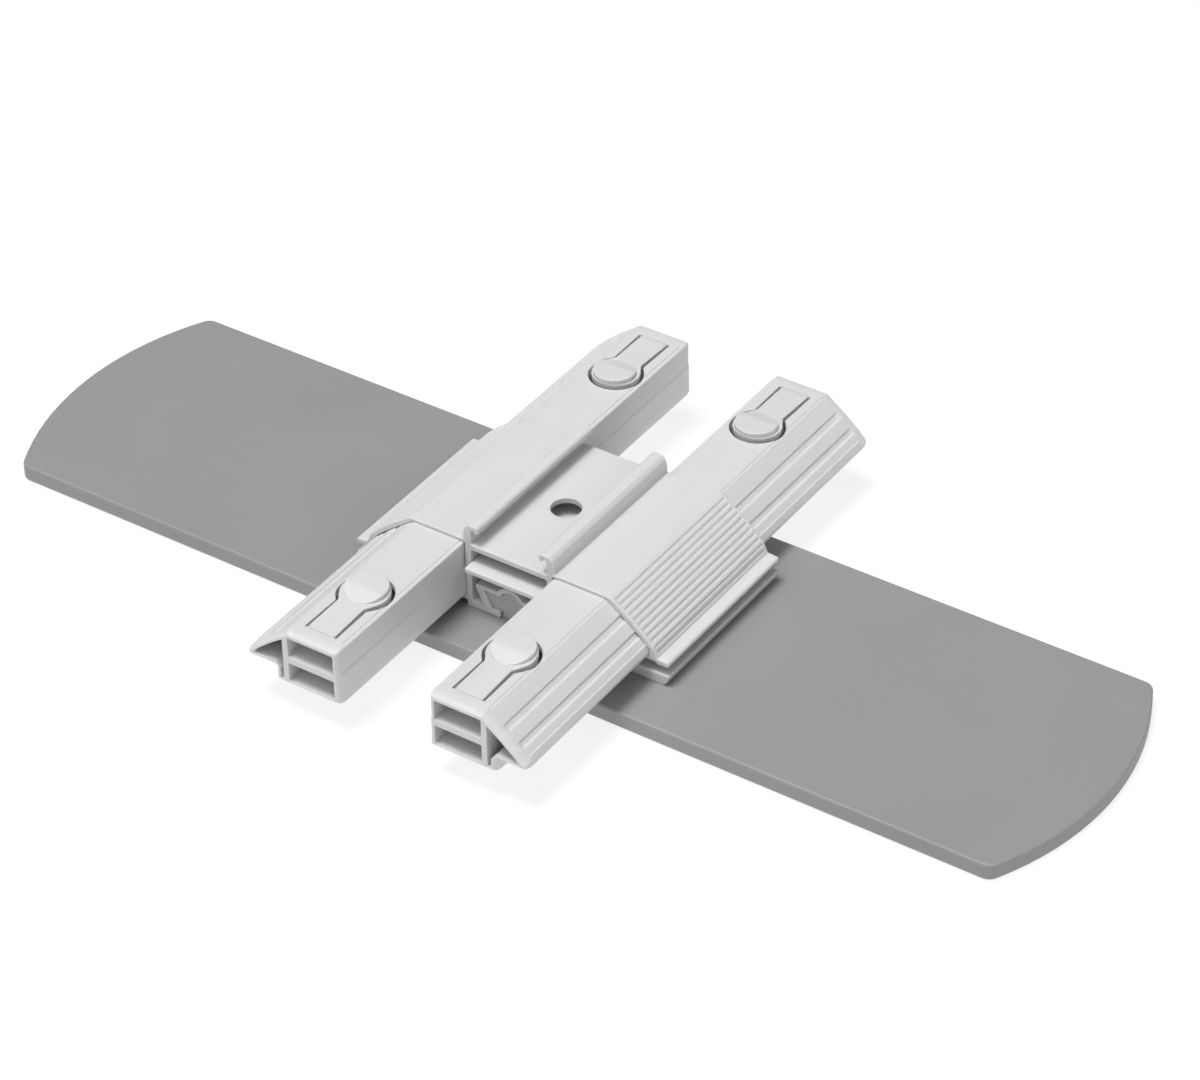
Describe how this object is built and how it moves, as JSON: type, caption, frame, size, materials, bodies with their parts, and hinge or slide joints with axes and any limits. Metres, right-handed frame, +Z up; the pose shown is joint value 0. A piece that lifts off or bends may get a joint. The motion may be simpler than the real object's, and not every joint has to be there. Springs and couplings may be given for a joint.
{
  "type": "frame profile foot connector",
  "caption": "Flat steel foot plate with curved ends, carrying a white plastic sleeve and hollow plug arms with snap buttons for a plug-together frame profile.",
  "frame": {"origin": "middle of the foot plate's underside", "axes": "+X along the foot plate, +Y along the plug arms, +Z up"},
  "size_m": [0.4, 0.201, 0.0386],
  "materials": {
    "white_plastic": "satin, injection moulded",
    "grey_coating": "fine powder coat",
    "grey_block": "matt, extruded",
    "zinc_screw": "zinc plated"
  },
  "bodies": {
    "connector": {"foot_plate": "grey_coating", "centre_sleeve": "white_plastic", "plug_arm_left": "white_plastic", "plug_arm_right": "white_plastic", "centre_plate": "white_plastic", "clamp_block": "grey_block", "clamp_screws": "zinc_screw", "arm_screws": "zinc_screw"},
    "tongue_front_left": {"snap_tongue_front_left": "white_plastic"},
    "tongue_front_right": {"snap_tongue_front_right": "white_plastic"},
    "tongue_back_left": {"snap_tongue_back_left": "white_plastic"},
    "tongue_back_right": {"snap_tongue_back_right": "white_plastic"}
  },
  "joints": [
    {"name": "press_front_left", "type": "hinge", "parent": "connector", "child": "tongue_front_left", "pos_m": [-0.02795, -0.0944, 0.03126], "axis": [-1, 0, 0], "range_deg": [0, 6], "stiffness_Nm_per_rad": 2.1},
    {"name": "press_front_right", "type": "hinge", "parent": "connector", "child": "tongue_front_right", "pos_m": [0.02795, -0.0944, 0.03126], "axis": [-1, 0, 0], "range_deg": [0, 6], "stiffness_Nm_per_rad": 2.1},
    {"name": "press_back_left", "type": "hinge", "parent": "connector", "child": "tongue_back_left", "pos_m": [-0.02795, 0.0944, 0.03126], "axis": [1, 0, 0], "range_deg": [0, 6], "stiffness_Nm_per_rad": 2.1},
    {"name": "press_back_right", "type": "hinge", "parent": "connector", "child": "tongue_back_right", "pos_m": [0.02795, 0.0944, 0.03126], "axis": [1, 0, 0], "range_deg": [0, 6], "stiffness_Nm_per_rad": 2.1}
  ]
}
